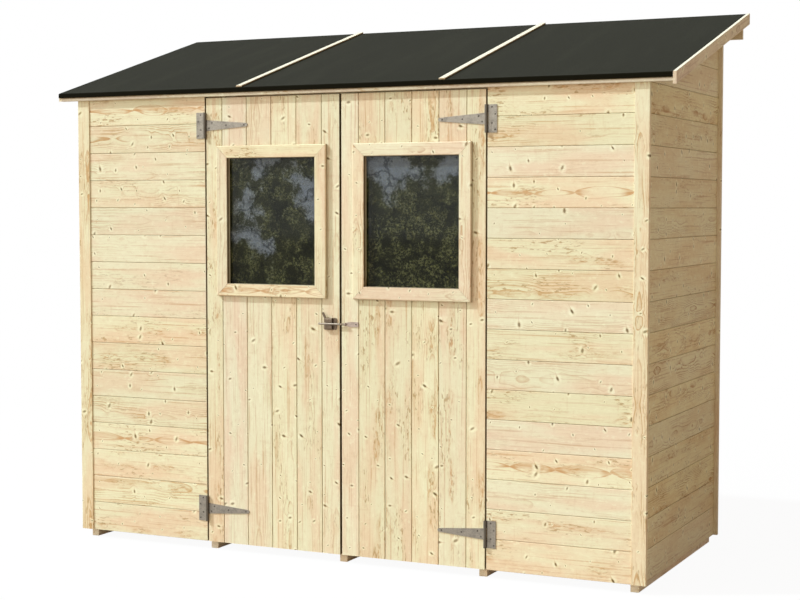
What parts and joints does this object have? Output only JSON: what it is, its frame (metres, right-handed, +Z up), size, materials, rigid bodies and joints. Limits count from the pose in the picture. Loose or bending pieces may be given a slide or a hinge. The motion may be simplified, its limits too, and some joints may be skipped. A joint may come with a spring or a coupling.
{
  "type": "wooden garden shed",
  "caption": "Lean-to garden shed of tongue-and-groove boards on bearers, with a felted mono-pitch roof and a pair of outward-opening glazed doors on tee hinges.",
  "frame": {"origin": "middle of the bounding box's footprint, on the ground under the bearers", "axes": "+Z up, +X along the front to the viewer's right, +Y from the front to the back"},
  "size_m": [2.665, 1.078, 2.1944],
  "materials": {
    "spruce_boards": "planed, untreated",
    "spruce_trim": "planed, untreated",
    "spruce_framing": "sawn, untreated",
    "mineral_felt": "fine mineral grit",
    "galvanised_steel": "galvanised",
    "latch_steel": "galvanised, worn",
    "window_glass": "clear, dark behind"
  },
  "bodies": {
    "shed": {"back_wall": "spruce_boards", "bearer_1": "spruce_framing", "bearer_2": "spruce_framing", "bearer_3": "spruce_framing", "bearer_4": "spruce_framing", "bearer_5": "spruce_framing", "door_header": "spruce_framing", "floor": "spruce_boards", "front_eave_strip": "spruce_trim", "left_door_post": "spruce_framing", "left_front_corner_board": "spruce_trim", "left_front_corner_post": "spruce_framing", "left_front_panel": "spruce_boards", "left_hinge_plates": "galvanised_steel", "left_rear_corner_board": "spruce_trim", "left_rear_corner_post": "spruce_framing", "left_roof_batten": "spruce_trim", "left_roof_felt": "mineral_felt", "left_side_wall": "spruce_boards", "left_verge": "spruce_trim", "middle_roof_felt": "mineral_felt", "rear_fascia": "spruce_trim", "rear_top_rail": "spruce_framing", "right_door_post": "spruce_framing", "right_front_corner_board": "spruce_trim", "right_front_corner_post": "spruce_framing", "right_front_panel": "spruce_boards", "right_hinge_plates": "galvanised_steel", "right_rear_corner_board": "spruce_trim", "right_rear_corner_post": "spruce_framing", "right_roof_batten": "spruce_trim", "right_roof_felt": "mineral_felt", "right_side_wall": "spruce_boards", "right_verge": "spruce_trim", "roof_deck": "spruce_boards"},
    "left_door": {"left_door_boards": "spruce_boards", "left_door_ledges": "spruce_framing", "left_hinge_straps": "galvanised_steel", "left_window_frame": "spruce_trim", "left_window_pane": "window_glass", "latch": "latch_steel"},
    "right_door": {"right_door_boards": "spruce_boards", "right_door_ledges": "spruce_framing", "right_hinge_straps": "galvanised_steel", "right_window_frame": "spruce_trim", "right_window_pane": "window_glass", "latch_striker": "latch_steel"}
  },
  "joints": [
    {"name": "left_door_hinge", "type": "hinge", "parent": "shed", "child": "left_door", "pos_m": [-0.6198, -0.526, 0.1675], "axis": [0, 0, -1], "range_deg": [0, 110]},
    {"name": "right_door_hinge", "type": "hinge", "parent": "shed", "child": "right_door", "pos_m": [0.6068, -0.526, 0.1675], "axis": [0, 0, 1], "range_deg": [0, 110]}
  ]
}
